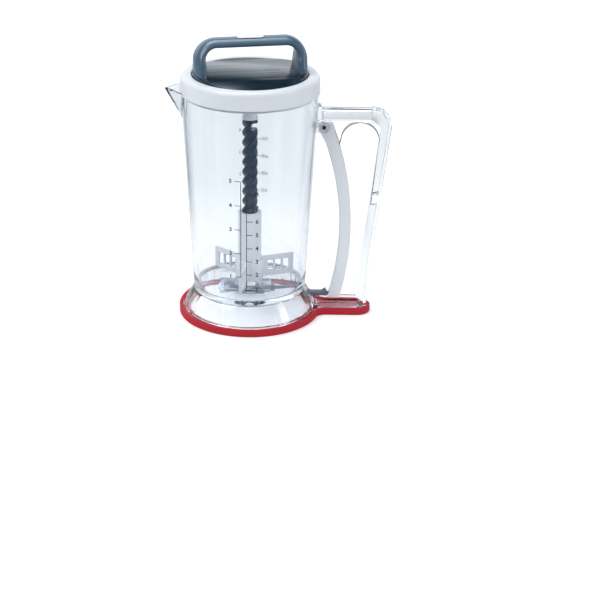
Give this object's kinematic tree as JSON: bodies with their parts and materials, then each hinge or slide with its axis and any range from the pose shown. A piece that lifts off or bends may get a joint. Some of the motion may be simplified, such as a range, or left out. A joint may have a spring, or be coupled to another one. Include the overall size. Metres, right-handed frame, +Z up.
{
  "type": "batter dispenser",
  "caption": "Clear jug with pump-action mixer in its lid, squeeze trigger, sliding outlet valve and flared foot with a silicone ring.",
  "frame": {"origin": "on the jug's axis, at the underside of the foot ring", "axes": "+Z up along the jug's axis, +X towards the handle, -X towards the spout"},
  "size_m": [0.1744, 0.112, 0.2242],
  "materials": {
    "clear_plastic": "clear polished moulding",
    "white_plastic": "satin white moulding",
    "slate_plastic": "satin dark slate moulding",
    "red_silicone": "matte silicone",
    "seal_silicone": "matte silicone",
    "spring_steel": "rolled strip and drawn rod",
    "dark_pin": "blackened pin",
    "silver_badge": "satin silver plate"
  },
  "bodies": {
    "jug": {"jug": "clear_plastic", "jug_floor": "clear_plastic", "base_skirt": "clear_plastic", "foot_ring": "red_silicone", "valve_guide": "clear_plastic", "valve_seal": "seal_silicone", "outlet_nozzle": "clear_plastic", "top_arm": "clear_plastic", "grip": "clear_plastic", "pivot_lugs": "clear_plastic", "pivot_pin": "dark_pin", "leaf_spring": "spring_steel"},
    "trigger": {"trigger_lever": "white_plastic"},
    "valve": {"gate_plate": "slate_plastic", "valve_rod": "slate_plastic"},
    "lid": {"lid": "white_plastic", "lid_seal": "seal_silicone", "stem_wiper": "seal_silicone", "rod_collar": "white_plastic", "spiral_rod": "slate_plastic"},
    "plunger": {"plunger_plate": "slate_plastic", "bail": "slate_plastic", "badge": "silver_badge", "stem": "spring_steel", "stem_clip": "spring_steel"},
    "mixer": {"mixing_hub": "white_plastic", "spiral_nut": "white_plastic", "mixing_paddle": "white_plastic"}
  },
  "joints": [
    {"name": "trigger_squeeze", "type": "hinge", "parent": "jug", "child": "trigger", "pos_m": [0.057, 0, 0.1556], "axis": [0, -1, 0], "range_deg": [-4.5, 0], "stiffness_Nm_per_rad": 2, "springref_deg": -17.19, "deforming": ["leaf_spring"]},
    {"name": "valve_travel", "type": "slide", "parent": "jug", "child": "valve", "axis": [1, 0, 0], "range_m": [-0.0112, 0]},
    {"name": "lid_lift", "type": "slide", "parent": "jug", "child": "lid", "axis": [0, 0, 1], "range_m": [0, 0.17]},
    {"name": "pump_stroke", "type": "slide", "parent": "lid", "child": "plunger", "axis": [0, 0, 1], "range_m": [0, 0.043]},
    {"name": "mixer_spin", "type": "hinge", "parent": "plunger", "child": "mixer", "pos_m": [0, 0, 0.03], "axis": [0, 0, 1], "range_deg": [0, 485]}
  ],
  "couplings": [
    {"joint": "valve_travel", "follows": "trigger_squeeze", "m_per_rad": 0.1406},
    {"joint": "mixer_spin", "follows": "pump_stroke", "rad_per_m": 196.35}
  ]
}
